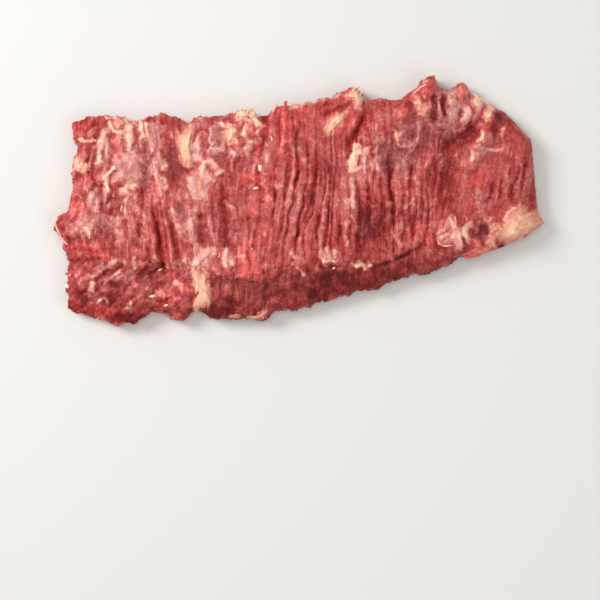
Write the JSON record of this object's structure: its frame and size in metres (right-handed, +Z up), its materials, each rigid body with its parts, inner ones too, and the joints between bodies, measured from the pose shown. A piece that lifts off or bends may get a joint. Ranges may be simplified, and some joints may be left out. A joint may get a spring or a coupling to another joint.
{
  "type": "beef inside skirt steak",
  "caption": "Raw beef inside skirt: a long, thin, uneven slab of red meat with cross-grain ridges, fat patches and a flat underside.",
  "frame": {"origin": "centre of the outline's box, on the surface the slab lies on", "axes": "+X along the slab's length, towards the fat flap; +Y towards the back edge; +Z up out of the ridged face"},
  "size_m": [0.256, 0.1304, 0.0166],
  "materials": {
    "raw_meat": "moist raw meat, satin to glossy, with fat and membrane"
  },
  "bodies": {
    "root": {"skirt_steak": "raw_meat"}
  },
  "joints": []
}
